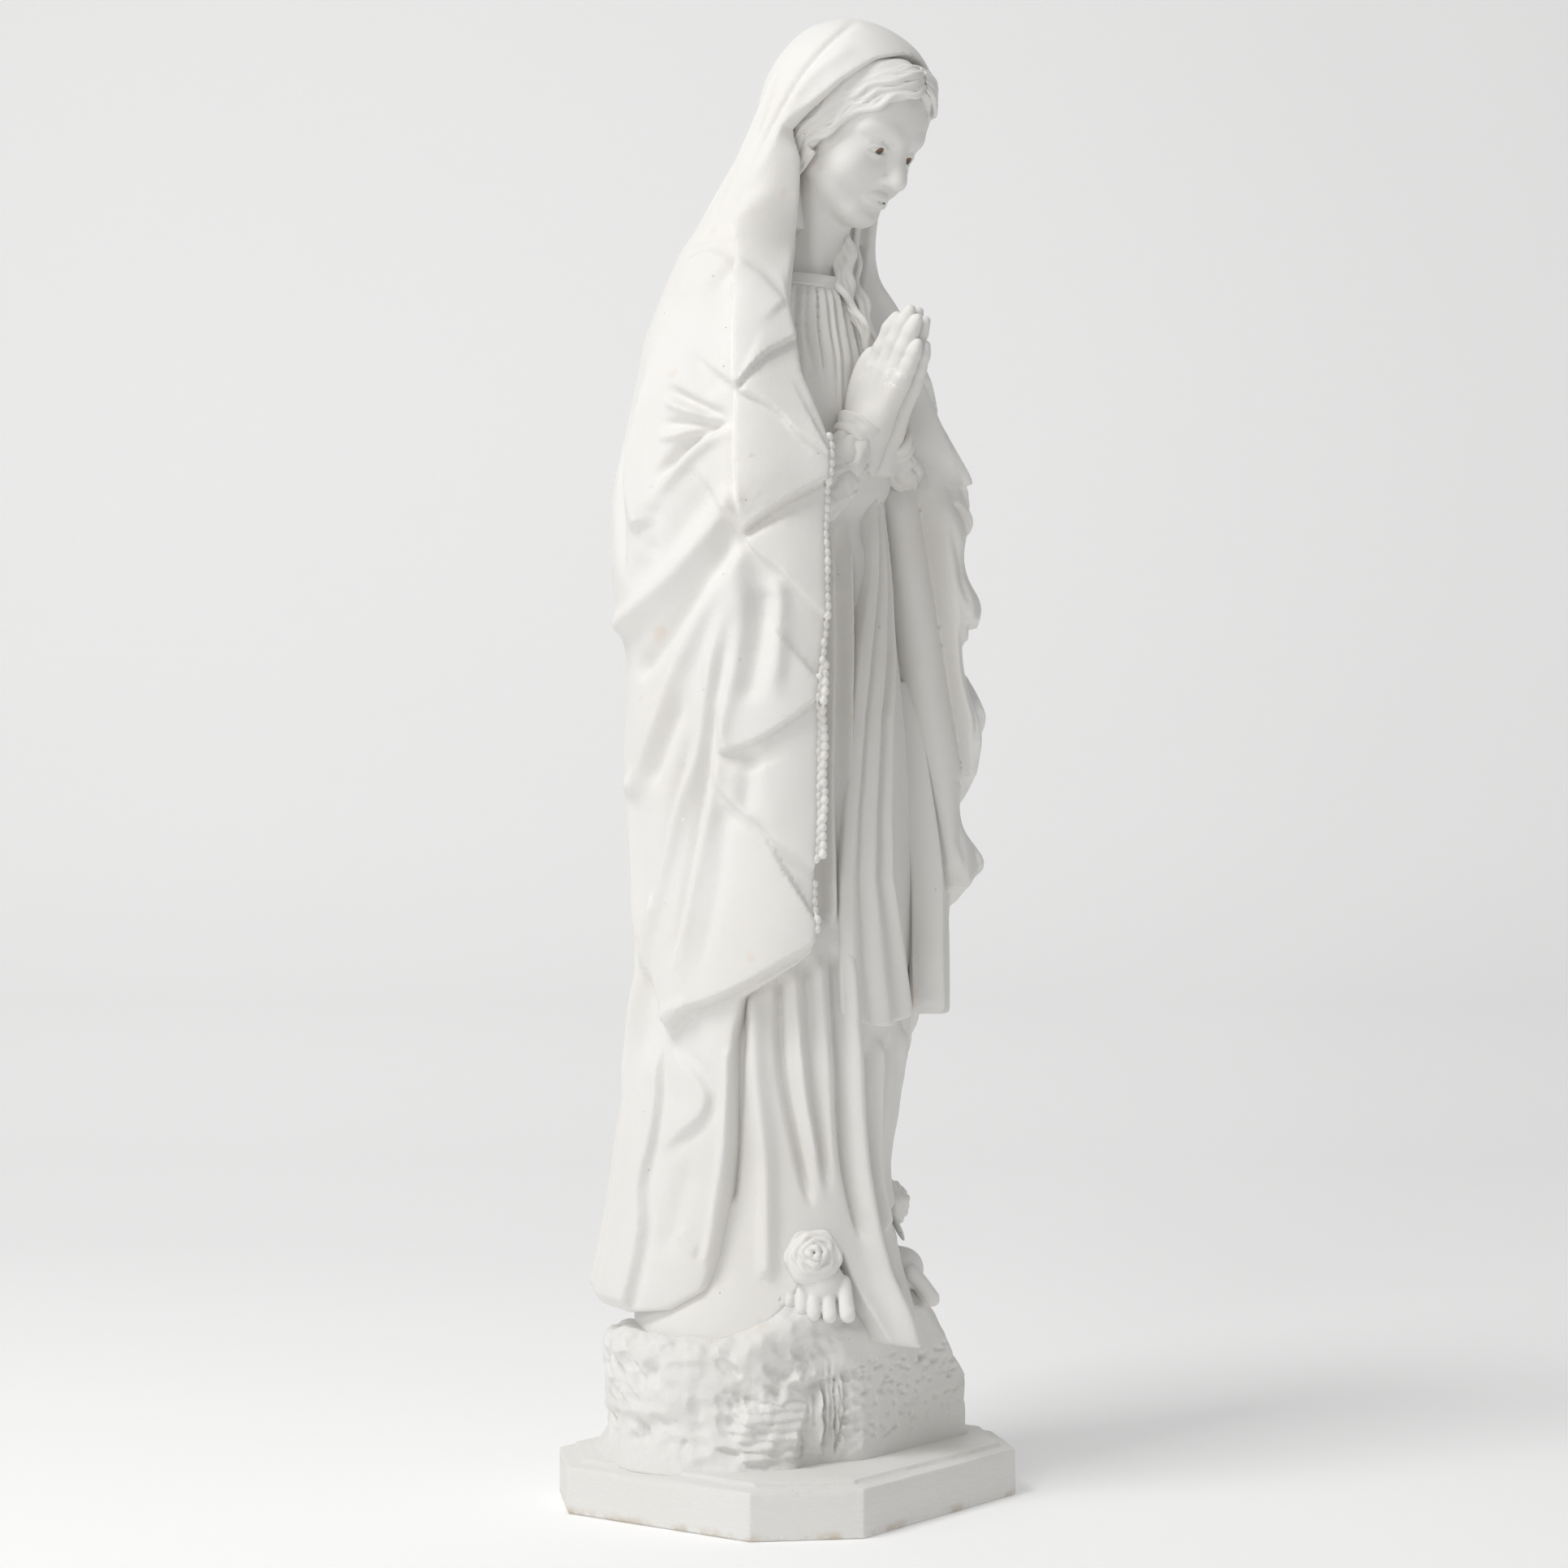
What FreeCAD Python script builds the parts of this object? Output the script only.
"""A praying Madonna statue, one metre tall, as a parametric FreeCAD document. Units are millimetres.

The frame: +Z up, the figure faces -Y, her left side is +X, and the origin is the centre of the
plinth's underside. The figure is a plaster casting with a hollow skirt. The hands are cast apart and
pinned on at the wrists, the eyes are glass, and a steel rod runs up the middle from the rock into the
bodice. Every piece is a closed solid, cut clear of the others."""

import FreeCAD, Part
import math
import os

from FreeCAD import Placement, Rotation, Vector

doc = FreeCAD.newDocument("madonna")
sheet = doc.addObject("Spreadsheet::Sheet", "sheet")

# ---------------------------------------------------------------- driving dimensions

DIMENSIONS = {
    "plinth_width": 280, "plinth_depth": 252, "plinth_corner": 52, "plinth_height": 30,
    "ledge_rise": 1.5, "step_inset": 9, "step_height": 5,
    "wall": 13, "skin": 6, "fit_gap": 0.15,
    "rock_front": 83, "rod_radius": 5, "rod_foot": 50, "rod_length": 745,
    "head_tilt": 26, "head_height": 912, "head_forward": 58,
    "skull_half_width": 43, "skull_half_depth": 52, "skull_half_height": 50,
    "jaw_half_width": 31, "jaw_half_depth": 34, "jaw_half_height": 36,
    "eye_radius": 6.5, "eye_spacing": 35, "neck_radius": 23, "neck_length": 86,
    "hood_half_width": 63, "hood_half_depth": 76, "hood_half_height": 84, "hood_wall": 10,
    "hood_height": 922, "hood_forward": 51,
    "hand_lean": 22, "wrist_height": 704, "wrist_forward": 74,
    "palm_half_height": 29, "palm_half_width": 22, "palm_thickness": 15, "finger_radius": 5.6,
    "pin_radius": 2.5, "pin_length": 34, "cuff_radius": 17, "sleeve_radius": 25, "sleeve_length": 66,
    "collar_radius": 27, "collar_thickness": 3.5, "hair_radius": 45, "hair_thickness": 7,
    "sash_low": 664, "sash_high": 684,
    "bead_radius": 2.4, "bead_pitch": 7.2, "bead_count": 40, "bead_top": 645,
    "toe_radius": 5.5, "rose_radius": 17,
}

# Each tapering form is a loft through level ellipses. A row is
# (height, half width, half depth, centre's X, centre's Y).
SECTIONS = {
    "rock": [(35, 118, 104, 0, 4), (80, 114, 100, 0, 4), (112, 100, 90, 0, 2)],
    "gown": [
        (112, 86, 64, 0, -2), (200, 82, 74, 0, -4), (300, 80, 76, 0, -4),
        (480, 76, 70, 0, -4), (600, 70, 58, 0, -2), (686, 60, 50, 0, -2),
    ],
    "bodice": [(686, 60, 50, 0, -2), (750, 64, 52, 0, -4), (795, 56, 38, 0, 0), (822, 32, 27, 0, 0)],
    "mantle": [
        (124, 106, 96, 0, 22), (200, 100, 88, 0, 16), (300, 102, 84, 0, 12), (480, 112, 92, 0, 6),
        (620, 126, 106, 0, 2), (720, 113, 92, 0, 2), (800, 88, 64, 0, 4), (838, 58, 44, 0, 0),
    ],
    "cascade_short": [
        (330, 9, 7, -84, -62), (400, 17, 12, -78, -74), (500, 19, 13, -70, -84), (600, 20, 14, -68, -92),
        (700, 20, 14, -66, -86), (770, 16, 12, -56, -70),
    ],
    "cascade_long": [
        (200, 9, 7, -84, -48), (330, 17, 12, -84, -62), (460, 20, 14, -86, -70), (600, 20, 14, -78, -86),
        (700, 20, 14, -70, -84), (770, 16, 12, -56, -70),
    ],
    "veil_panel_right": [(770, 13, 9, -52, -65), (820, 14, 10, -49, -63), (876, 10, 9, -46, -72)],
    "veil_panel_left": [(770, 13, 9, 50, -64), (820, 14, 10, 47, -62), (880, 10, 9, 45, -72)],
    "hair_lock": [(762, 5, 4, 31, -62), (800, 7, 5, 26, -54), (835, 7, 5, 32, -48), (872, 6, 5, 35, -56)],
    "fold": [(86, 13, 11, 0, -97), (140, 15, 12, 0, -88), (300, 13, 11, 0, -82), (420, 9, 7, 0, -74)],
}
SECTION_FIELDS = ("height", "half_width", "half_depth", "centre_x", "centre_y")


def fill_sheet():
    """Writes each driving dimension to a cell, with its name as the cell's alias."""
    values = dict(DIMENSIONS)
    for form, rows in SECTIONS.items():
        for i, row in enumerate(rows):
            for field, value in zip(SECTION_FIELDS, row):
                values[f"{form}_{field}_{i}"] = value
    for i, (alias, value) in enumerate(values.items(), start=1):
        sheet.set(f"A{i}", alias)
        sheet.set(f"B{i}", str(value))
        sheet.setAlias(f"B{i}", alias)
    doc.recompute()


def size(alias):
    return float(sheet.get(alias))


# ---------------------------------------------------------------- helpers

pieces = []


def piece(obj, label):
    """Marks an object as a sub-part. Its Label names its file."""
    obj.Label = label
    pieces.append(obj)
    return obj


def bind(obj, **expressions):
    """Binds properties to the sheet. Each is given by name, with __ for a dot: Placement__Base__z."""
    for prop, expression in expressions.items():
        obj.setExpression(prop.replace("__", "."), expression)
    return obj


def primitive(kind, name, at, towards=(0, 0, 1), **expressions):
    """A Part primitive whose own Z axis starts at the point at and runs towards a direction."""
    obj = doc.addObject(f"Part::{kind}", name)
    obj.Placement = Placement(Vector(*at), Rotation(Vector(0, 0, 1), Vector(*towards)))
    return bind(obj, **expressions)


def cone(name, start, end, start_radius, end_radius):
    """A round taper between two points."""
    axis = Vector(*end) - Vector(*start)
    obj = primitive("Cone", name, start, axis)
    obj.Radius1 = start_radius
    obj.Radius2 = end_radius
    obj.Height = axis.Length
    return obj


def ball(name, centre, radius):
    obj = primitive("Sphere", name, centre)
    obj.Radius = radius
    return obj


def ellipsoid(name, centre, prefix, lean, shrink="0"):
    """An ellipsoid that leans forward by lean degrees.

    Its half height, half width and half depth are the sheet's values whose names start with the prefix."""
    obj = doc.addObject("Part::Ellipsoid", name)
    obj.Placement = Placement(Vector(*centre), Rotation(Vector(1, 0, 0), lean))
    return bind(
        obj,
        Radius1=f"(sheet.{prefix}_half_height - {shrink}) * 1 mm",
        Radius2=f"(sheet.{prefix}_half_width - {shrink}) * 1 mm",
        Radius3=f"(sheet.{prefix}_half_depth - {shrink}) * 1 mm",
    )


def box(name, low, high):
    obj = doc.addObject("Part::Box", name)
    obj.Length = high[0] - low[0]
    obj.Width = high[1] - low[1]
    obj.Height = high[2] - low[2]
    obj.Placement = Placement(Vector(*low), Rotation())
    return obj


def loft(name, form, grow="0"):
    """A closed loft through the sheet's level ellipses of a form, each grown outwards by an expression.

    A form on her left is turned half round, so that its seam faces the middle and clears the cuts."""
    turn = Rotation(Vector(0, 0, 1), 180 if SECTIONS[form][0][3] > 0 else 0)
    sections = []
    for i in range(len(SECTIONS[form])):
        ellipse = doc.addObject("Part::Ellipse", f"{name}_section_{i}")
        ellipse.Placement = Placement(Vector(), turn)
        bind(
            ellipse,
            MajorRadius=f"(sheet.{form}_half_width_{i} + {grow}) * 1 mm",
            MinorRadius=f"(sheet.{form}_half_depth_{i} + {grow}) * 1 mm",
            Placement__Base__x=f"sheet.{form}_centre_x_{i} * 1 mm",
            Placement__Base__y=f"sheet.{form}_centre_y_{i} * 1 mm",
            Placement__Base__z=f"sheet.{form}_height_{i} * 1 mm",
        )
        sections.append(ellipse)
    obj = doc.addObject("Part::Loft", name)
    obj.Sections = sections
    obj.Solid = True
    obj.Ruled = False
    return obj


def fuse(name, *shapes):
    obj = doc.addObject("Part::MultiFuse", name)
    obj.Shapes = list(shapes)
    return obj


def common(name, first, second):
    obj = doc.addObject("Part::Common", name)
    obj.Base = first
    obj.Tool = second
    return obj


def mirror_image(source):
    """A shape on her right, turned into the same on her left."""
    obj = doc.addObject("Part::Mirroring", f"{source.Name}_mirrored")
    obj.Source = source
    obj.Base = Vector(0, 0, 0)
    obj.Normal = Vector(1, 0, 0)
    return obj


def left_twin(right):
    """The left-hand twin of a sub-part."""
    return piece(mirror_image(right), right.Label.replace("right", "left"))


def cut(name, base, *tools):
    """base less every tool, as a chain of cuts. The last one has the name."""
    for i, tool in enumerate(tools, start=1):
        obj = doc.addObject("Part::Cut", name if i == len(tools) else f"{name}_step_{i}")
        obj.Base = base
        obj.Tool = tool
        base = obj
    return base


def leaning_point(origin, lean_degrees, side, forward_by, up_by):
    """A point beside, in front of and above origin, in a frame that leans forward."""
    lean = math.radians(lean_degrees)
    forward = Vector(0, -math.cos(lean), -math.sin(lean))
    up = Vector(0, -math.sin(lean), math.cos(lean))
    return Vector(*origin) + Vector(side, 0, 0) + forward * forward_by + up * up_by


# ---------------------------------------------------------------- plinth, rock and rod


def octagon(body, name, height, inset):
    """A sketch of the plinth's outline, a rectangle with its corners cut off, inset evenly."""
    sketch = body.newObject("Sketcher::SketchObject", name)
    plane = [feature for feature in body.Origin.OriginFeatures if feature.Role == "XY_Plane"][0]
    sketch.AttachmentSupport = (plane, [""])
    sketch.MapMode = "FlatFace"
    sketch.AttachmentOffset = Placement(Vector(0, 0, height), Rotation())
    x = size("plinth_width") / 2 - inset
    y = size("plinth_depth") / 2 - inset
    corner = size("plinth_corner") - inset * (2 - math.sqrt(2))
    corners = [
        (x, corner - y), (x, y - corner), (x - corner, y), (corner - x, y),
        (-x, y - corner), (-x, corner - y), (corner - x, -y), (x - corner, -y),
    ]
    points = [Vector(a, b, 0) for a, b in corners]
    for start, end in zip(points, points[1:] + points[:1]):
        sketch.addGeometry(Part.LineSegment(start, end))
    return sketch


def make_plinth():
    """A slab, a ledge that slopes up, and a raised step for the rock."""
    top = size("plinth_height")
    body = doc.addObject("PartDesign::Body", "plinth_body")
    slab = body.newObject("PartDesign::Pad", "slab")
    slab.Profile = octagon(body, "slab_outline", 0, 0)
    bind(slab, Length="sheet.plinth_height * 1 mm")
    ledge = body.newObject("PartDesign::AdditiveLoft", "ledge")
    ledge.Profile = octagon(body, "ledge_outline", top, 0)
    ledge.Sections = [octagon(body, "ledge_top", top + size("ledge_rise"), size("step_inset"))]
    step = body.newObject("PartDesign::Pad", "step")
    step.Profile = octagon(body, "step_outline", top, size("step_inset"))
    bind(step, Length="sheet.step_height * 1 mm")
    return piece(body, "plinth")


def make_rod():
    return piece(
        primitive(
            "Cylinder", "rod", (0, 0, size("rod_foot")),
            Radius="sheet.rod_radius * 1 mm", Height="sheet.rod_length * 1 mm",
        ),
        "armature_rod",
    )


def make_rock(rod):
    """A mound with a sawn front face."""
    front = -size("rock_front")
    sawn = box("rock_sawn", (-200, front - 100, 0), (200, front, 200))
    return piece(cut("rock_cut", loft("rock_mound", "rock"), sawn, rod), "rock")


# ---------------------------------------------------------------- clothes


def make_gown(outer):
    """The skirt is a hollow casting, open into the bodice above and on to the rock below."""
    hollow = loft("gown_hollow", "gown", grow="-sheet.wall")
    return piece(cut("gown_shell", outer, hollow), "gown_skirt")


def make_mantle(*inside):
    """Her back and sides, open in front and solid to the gown.

    Returns the whole of what it encloses, to cut the other pieces by."""
    opening = box("mantle_opening", (-66, -200, 100), (66, -34, 900))
    enclosed = cut("mantle_enclosed", loft("mantle_outer", "mantle"), opening)
    piece(cut("mantle_cut", enclosed, *inside), "mantle")
    return enclosed


def make_cascades(*inside):
    """The folded front edges of the mantle. The long one is made on her right and mirrored."""
    short = cut("cascade_short_cut", loft("cascade_short_whole", "cascade_short"), *inside)
    long = cut("cascade_long_cut", loft("cascade_long_whole", "cascade_long"), *inside)
    piece(short, "mantle_cascade_right")
    piece(mirror_image(long), "mantle_cascade_left")


def make_gown_fold(*inside):
    """The deep round fold down the front of the skirt, which runs out over the rock."""
    return piece(cut("fold_cut", loft("fold_whole", "fold"), *inside), "gown_front_fold")


def make_sash(gown, *outside):
    """A band round the waist and two tails down the skirt, all one skin's thickness proud of the gown."""
    skin = loft("sash_skin", "gown", grow="sheet.skin")
    low = size("sash_low")
    spans = {
        "sash_band": ((-70, -100, low), (70, 20, size("sash_high"))),
        "sash_tail_straight": ((-20, -110, 318), (8, -20, low)),
        "sash_tail_side": ((26, -110, 334), (48, -20, low)),
    }
    for label, (lowest, highest) in spans.items():
        strip = common(f"{label}_strip", skin, box(f"{label}_span", lowest, highest))
        piece(cut(f"{label}_cut", strip, gown, *outside), label)


def gown_front(x, height):
    """How far forward the skirt's front is, at that side and height."""
    rows = SECTIONS["gown"]
    for lower, upper in zip(rows, rows[1:]):
        if lower[0] <= height <= upper[0]:
            share = (height - lower[0]) / (upper[0] - lower[0])
            half_width, half_depth = (lower[i] + share * (upper[i] - lower[i]) for i in (1, 2))
            return lower[4] - half_depth * math.sqrt(1 - (x / half_width) ** 2)
    raise ValueError(f"the skirt has no height {height}")


def make_beads(*inside):
    """The rosary: separate beads that hang down the skirt beside the mantle's right edge."""
    x = -38
    beads = []
    for i in range(int(size("bead_count"))):
        height = size("bead_top") - i * size("bead_pitch")
        y = gown_front(x, height) - size("bead_radius") - 1
        beads.append(ball(f"bead_{i}", (x, y, height), size("bead_radius")))
    return piece(cut("beads_cut", fuse("beads", *beads), *inside), "rosary_beads")


# ---------------------------------------------------------------- head and veil


def head_point(side, forward_by, up_by):
    origin = (0, -size("head_forward"), size("head_height"))
    return leaning_point(origin, size("head_tilt"), side, forward_by, up_by)


def make_head(bodice):
    """Skull, jaw, nose and neck in one, with round sockets for the glass eyes."""
    lean = size("head_tilt")
    skull = ellipsoid("skull", head_point(0, -6, 12), "skull", lean)
    jaw = ellipsoid("jaw", head_point(0, 10, -26), "jaw", lean)
    nose = cone("nose", head_point(0, 46, -20), head_point(0, 43, 2), 6, 2.5)
    neck = primitive(
        "Cylinder", "neck", (0, 5, 806), (0, -0.35, 1), Radius="sheet.neck_radius * 1 mm",
        Height="sheet.neck_length * 1 mm",
    )
    sockets = []
    for side, word in ((-1, "right"), (1, "left")):
        centre = head_point(side * size("eye_spacing") / 2, 34, 0)
        socket = ball(f"socket_{word}", centre, size("eye_radius") + size("fit_gap"))
        socket.Placement.Rotation = Rotation(Vector(0, 0, 1), 90 * (1 + side))
        sockets.append(socket)
        eye = primitive("Sphere", f"eye_ball_{word}", centre, Radius="sheet.eye_radius * 1 mm")
        piece(eye, f"eye_{word}")
    return piece(cut("head_cut", fuse("head_whole", skull, jaw, nose, neck), *sockets, bodice), "head")


def make_collar(*inside):
    ring = primitive(
        "Torus", "collar_ring", (0, -5, 826), Radius1="sheet.collar_radius * 1 mm",
        Radius2="sheet.collar_thickness * 1 mm",
    )
    return piece(cut("collar_cut", ring, *inside), "collar")


def make_hood(*inside):
    """The veil's hood: a dome over the head and nape, hollow in front round the face.

    It stands on the mantle's top."""
    lean = size("head_tilt")
    centre = (0, -size("hood_forward"), size("hood_height"))
    dome = ellipsoid("dome", centre, "hood", lean)
    nape = cone("nape", (0, 0, 815), (0, -30, 915), 61, 61)
    dome_inside = ellipsoid("dome_inside", centre, "hood", lean, shrink="sheet.hood_wall")
    round_face = common("round_face", dome_inside, box("hood_front", (-100, -250, 780), (100, -62, 1000)))
    below = box("hood_below", (-200, -250, 700), (200, 200, SECTIONS["mantle"][-1][0]))
    face_opening = box("face_opening", (-43, -200, 780), (43, -72, 972))
    neck_opening = box("neck_opening", (-43, -200, 781), (43, -30, 880))
    openings = (round_face, below, face_opening, neck_opening)
    hood = cut("hood_cut", fuse("hood_whole", nape, dome), *openings, *inside)
    return piece(hood, "veil_hood")


def make_hair(*inside):
    """Two waved bands from the parting down each side of the face, and one long lock on her left."""
    ring = primitive(
        "Torus", "hair_ring", head_point(0, 16, 6), head_point(0, 60, -34) - head_point(0, 0, 0),
        Radius1="sheet.hair_radius * 1 mm", Radius2="sheet.hair_thickness * 1 mm",
    )
    for side, word in ((-1, "right"), (1, "left")):
        edges = sorted((side * size("fit_gap"), side * 90))
        half = box(f"hair_half_{word}", (edges[0], -200, 896), (edges[1], 60, 1010))
        piece(cut(f"hair_{word}_cut", common(f"hair_arc_{word}", ring, half), *inside), f"hair_{word}")
    return piece(cut("lock_cut", loft("lock_whole", "hair_lock"), *inside), "hair_lock")


def make_veil_panels(*inside):
    """The two ends of the veil, which fall from the hood over her collarbones."""
    for side in ("right", "left"):
        form = f"veil_panel_{side}"
        piece(cut(f"{form}_cut", loft(f"{form}_whole", form), *inside), form)


# ---------------------------------------------------------------- hands and sleeves


def hand_point(side, forward_by, up_by):
    origin = (0, -size("wrist_forward"), size("wrist_height"))
    return leaning_point(origin, size("hand_lean"), side, forward_by, up_by)


def right_side(name, shape):
    """The part of a shape on her right of the plane X = 0, less half a fit gap."""
    half = box(f"{name}_half", (-200, -200, 100), (-size("fit_gap"), 200, 900))
    return common(name, shape, half)


def make_hand(pin, bodice):
    """A flat palm with four fingers and a thumb. The palms meet on the plane X = 0."""
    radius = size("finger_radius")
    palm_x = -size("palm_thickness") / 2
    palm = doc.addObject("Part::Ellipsoid", "palm")
    palm.Placement = Placement(hand_point(palm_x, 0, 24), Rotation(Vector(1, 0, 0), size("hand_lean")))
    bind(
        palm, Radius1="sheet.palm_half_height * 1 mm", Radius2="sheet.palm_thickness / 2 * 1 mm",
        Radius3="sheet.palm_half_width * 1 mm",
    )
    parts = [palm, cone("wrist", hand_point(-9, -2, -12), hand_point(palm_x, 0, 14), 7, 9)]
    for i, length in enumerate((35, 43, 46, 41)):
        across = 10.5 * i - 15.5
        start = hand_point(-radius, across, 38)
        end = hand_point(-radius, across * 0.6, 42 + length)
        parts.append(cone(f"finger_{i}", start, end, radius, radius * 0.75))
        parts.append(ball(f"fingertip_{i}", end, radius * 0.75))
    thumb_tip = hand_point(-6, -25, 48)
    parts.append(cone("thumb", hand_point(palm_x, -15, 12), thumb_tip, 7, 4.5))
    parts.append(ball("thumb_tip", thumb_tip, 4.5))
    hand = right_side("hand_side", fuse("hand_whole", *parts))
    return piece(cut("hand_cut", hand, pin, bodice), "hand_right")


def make_arm(bodice, *clothes):
    """Her right wrist pin, the hand on it, and the cuff and gathered sleeve that take the pin's other end."""
    wrist = hand_point(-9, -2, 0)
    down = Vector(-0.62, 0.5, -0.6).normalize()
    pin = primitive(
        "Cylinder", "pin_shape", wrist - down * 10, down, Radius="sheet.pin_radius * 1 mm",
        Height="sheet.pin_length * 1 mm",
    )
    hand = make_hand(pin, bodice)
    radius = size("cuff_radius")
    cuff_end = wrist + down * 15
    cuff = cone("cuff_whole", wrist + down * 3, cuff_end, radius - 3, radius)
    sleeve_end = cuff_end + down * size("sleeve_length")
    sleeve = cone("sleeve_whole", cuff_end, sleeve_end, radius + 1, size("sleeve_radius"))
    cuff_side = right_side("cuff_side", cuff)
    sleeve_side = right_side("sleeve_side", sleeve)
    return [
        hand,
        piece(pin, "wrist_pin_right"),
        piece(cut("cuff_cut", cuff_side, pin, hand, bodice), "cuff_right"),
        piece(cut("sleeve_cut", sleeve_side, pin, hand, bodice, *clothes), "sleeve_right"),
    ]


# ---------------------------------------------------------------- feet and roses


def make_foot(gown):
    """Five toes side by side on the rock, the great toe nearest the middle."""
    toes = [box("instep", (-68, -62, 112), (-22, -40, 120))]
    for i in range(5):
        radius = size("toe_radius") * (1.25 - 0.13 * i)
        x = -25 - i * 10
        height = 112 + radius
        tip = (x, i * 2.5 - 74, height)
        toes.append(cone(f"toe_{i}", (x, -40, height + 4), tip, radius, radius))
        toes.append(ball(f"toe_tip_{i}", tip, radius))
    return piece(cut("foot_cut", fuse("foot_whole", *toes), gown), "foot_right")


def make_rose(gown, foot):
    """An open rose on the instep: a round heart in two rings of petals."""
    radius = size("rose_radius")
    facing = (-0.3, -1, 0.2)
    parts = [ball("rose_heart", (-45, -64, 160), radius * 0.62)]
    for i, (ring, thickness) in enumerate(((0.5, 0.32), (0.72, 0.28))):
        petals = primitive("Torus", f"rose_petals_{i}", (-45, -64 + 4 * i, 160), facing)
        petals.Radius1 = radius * ring
        petals.Radius2 = radius * thickness
        parts.append(petals)
    return piece(cut("rose_cut", fuse("rose_whole", *parts), gown, foot), "rose_right")


# ---------------------------------------------------------------- assembly


def build():
    fill_sheet()
    rod = make_rod()
    make_plinth()
    rock = make_rock(rod)
    gown = loft("gown_outer", "gown")
    bodice_whole = loft("bodice_whole", "bodice")
    make_gown(gown)
    piece(cut("bodice_cut", bodice_whole, rod), "bodice")
    mantle = make_mantle(gown, bodice_whole)
    fold = make_gown_fold(gown, rock)
    head = make_head(bodice_whole)
    make_collar(head, bodice_whole)
    hood = make_hood(head)
    make_hair(head, hood, bodice_whole, mantle)
    arm = make_arm(bodice_whole, mantle, gown)
    foot = make_foot(gown)
    both_sides = [*arm, foot, make_rose(gown, foot)]
    left_side = [left_twin(right) for right in both_sides]
    sleeves = [both_sides[3], left_side[3]]
    make_sash(gown, bodice_whole, mantle, fold, *sleeves)
    make_cascades(mantle, gown, bodice_whole, *sleeves)
    make_veil_panels(mantle, bodice_whole, hood)
    make_beads(gown)
    doc.recompute()


def check():
    """Every object has to be computed, and every sub-part a valid closed solid."""
    failed = [obj.Name for obj in doc.Objects if "Invalid" in obj.State or "Error" in obj.State]
    if failed:
        raise RuntimeError(f"these failed: {failed}")
    for obj in pieces:
        shape = obj.Shape
        if shape.isNull() or not shape.isValid() or not shape.Solids:
            raise RuntimeError(f"{obj.Label} is not a valid solid")
        print(f"{obj.Label}: {len(shape.Solids)} solid(s), {shape.Volume / 1000:.1f} cm3")


def write():
    os.makedirs("parts", exist_ok=True)
    for obj in pieces:
        obj.Shape.exportStep(f"parts/{obj.Label}.step")


build()
check()
write()
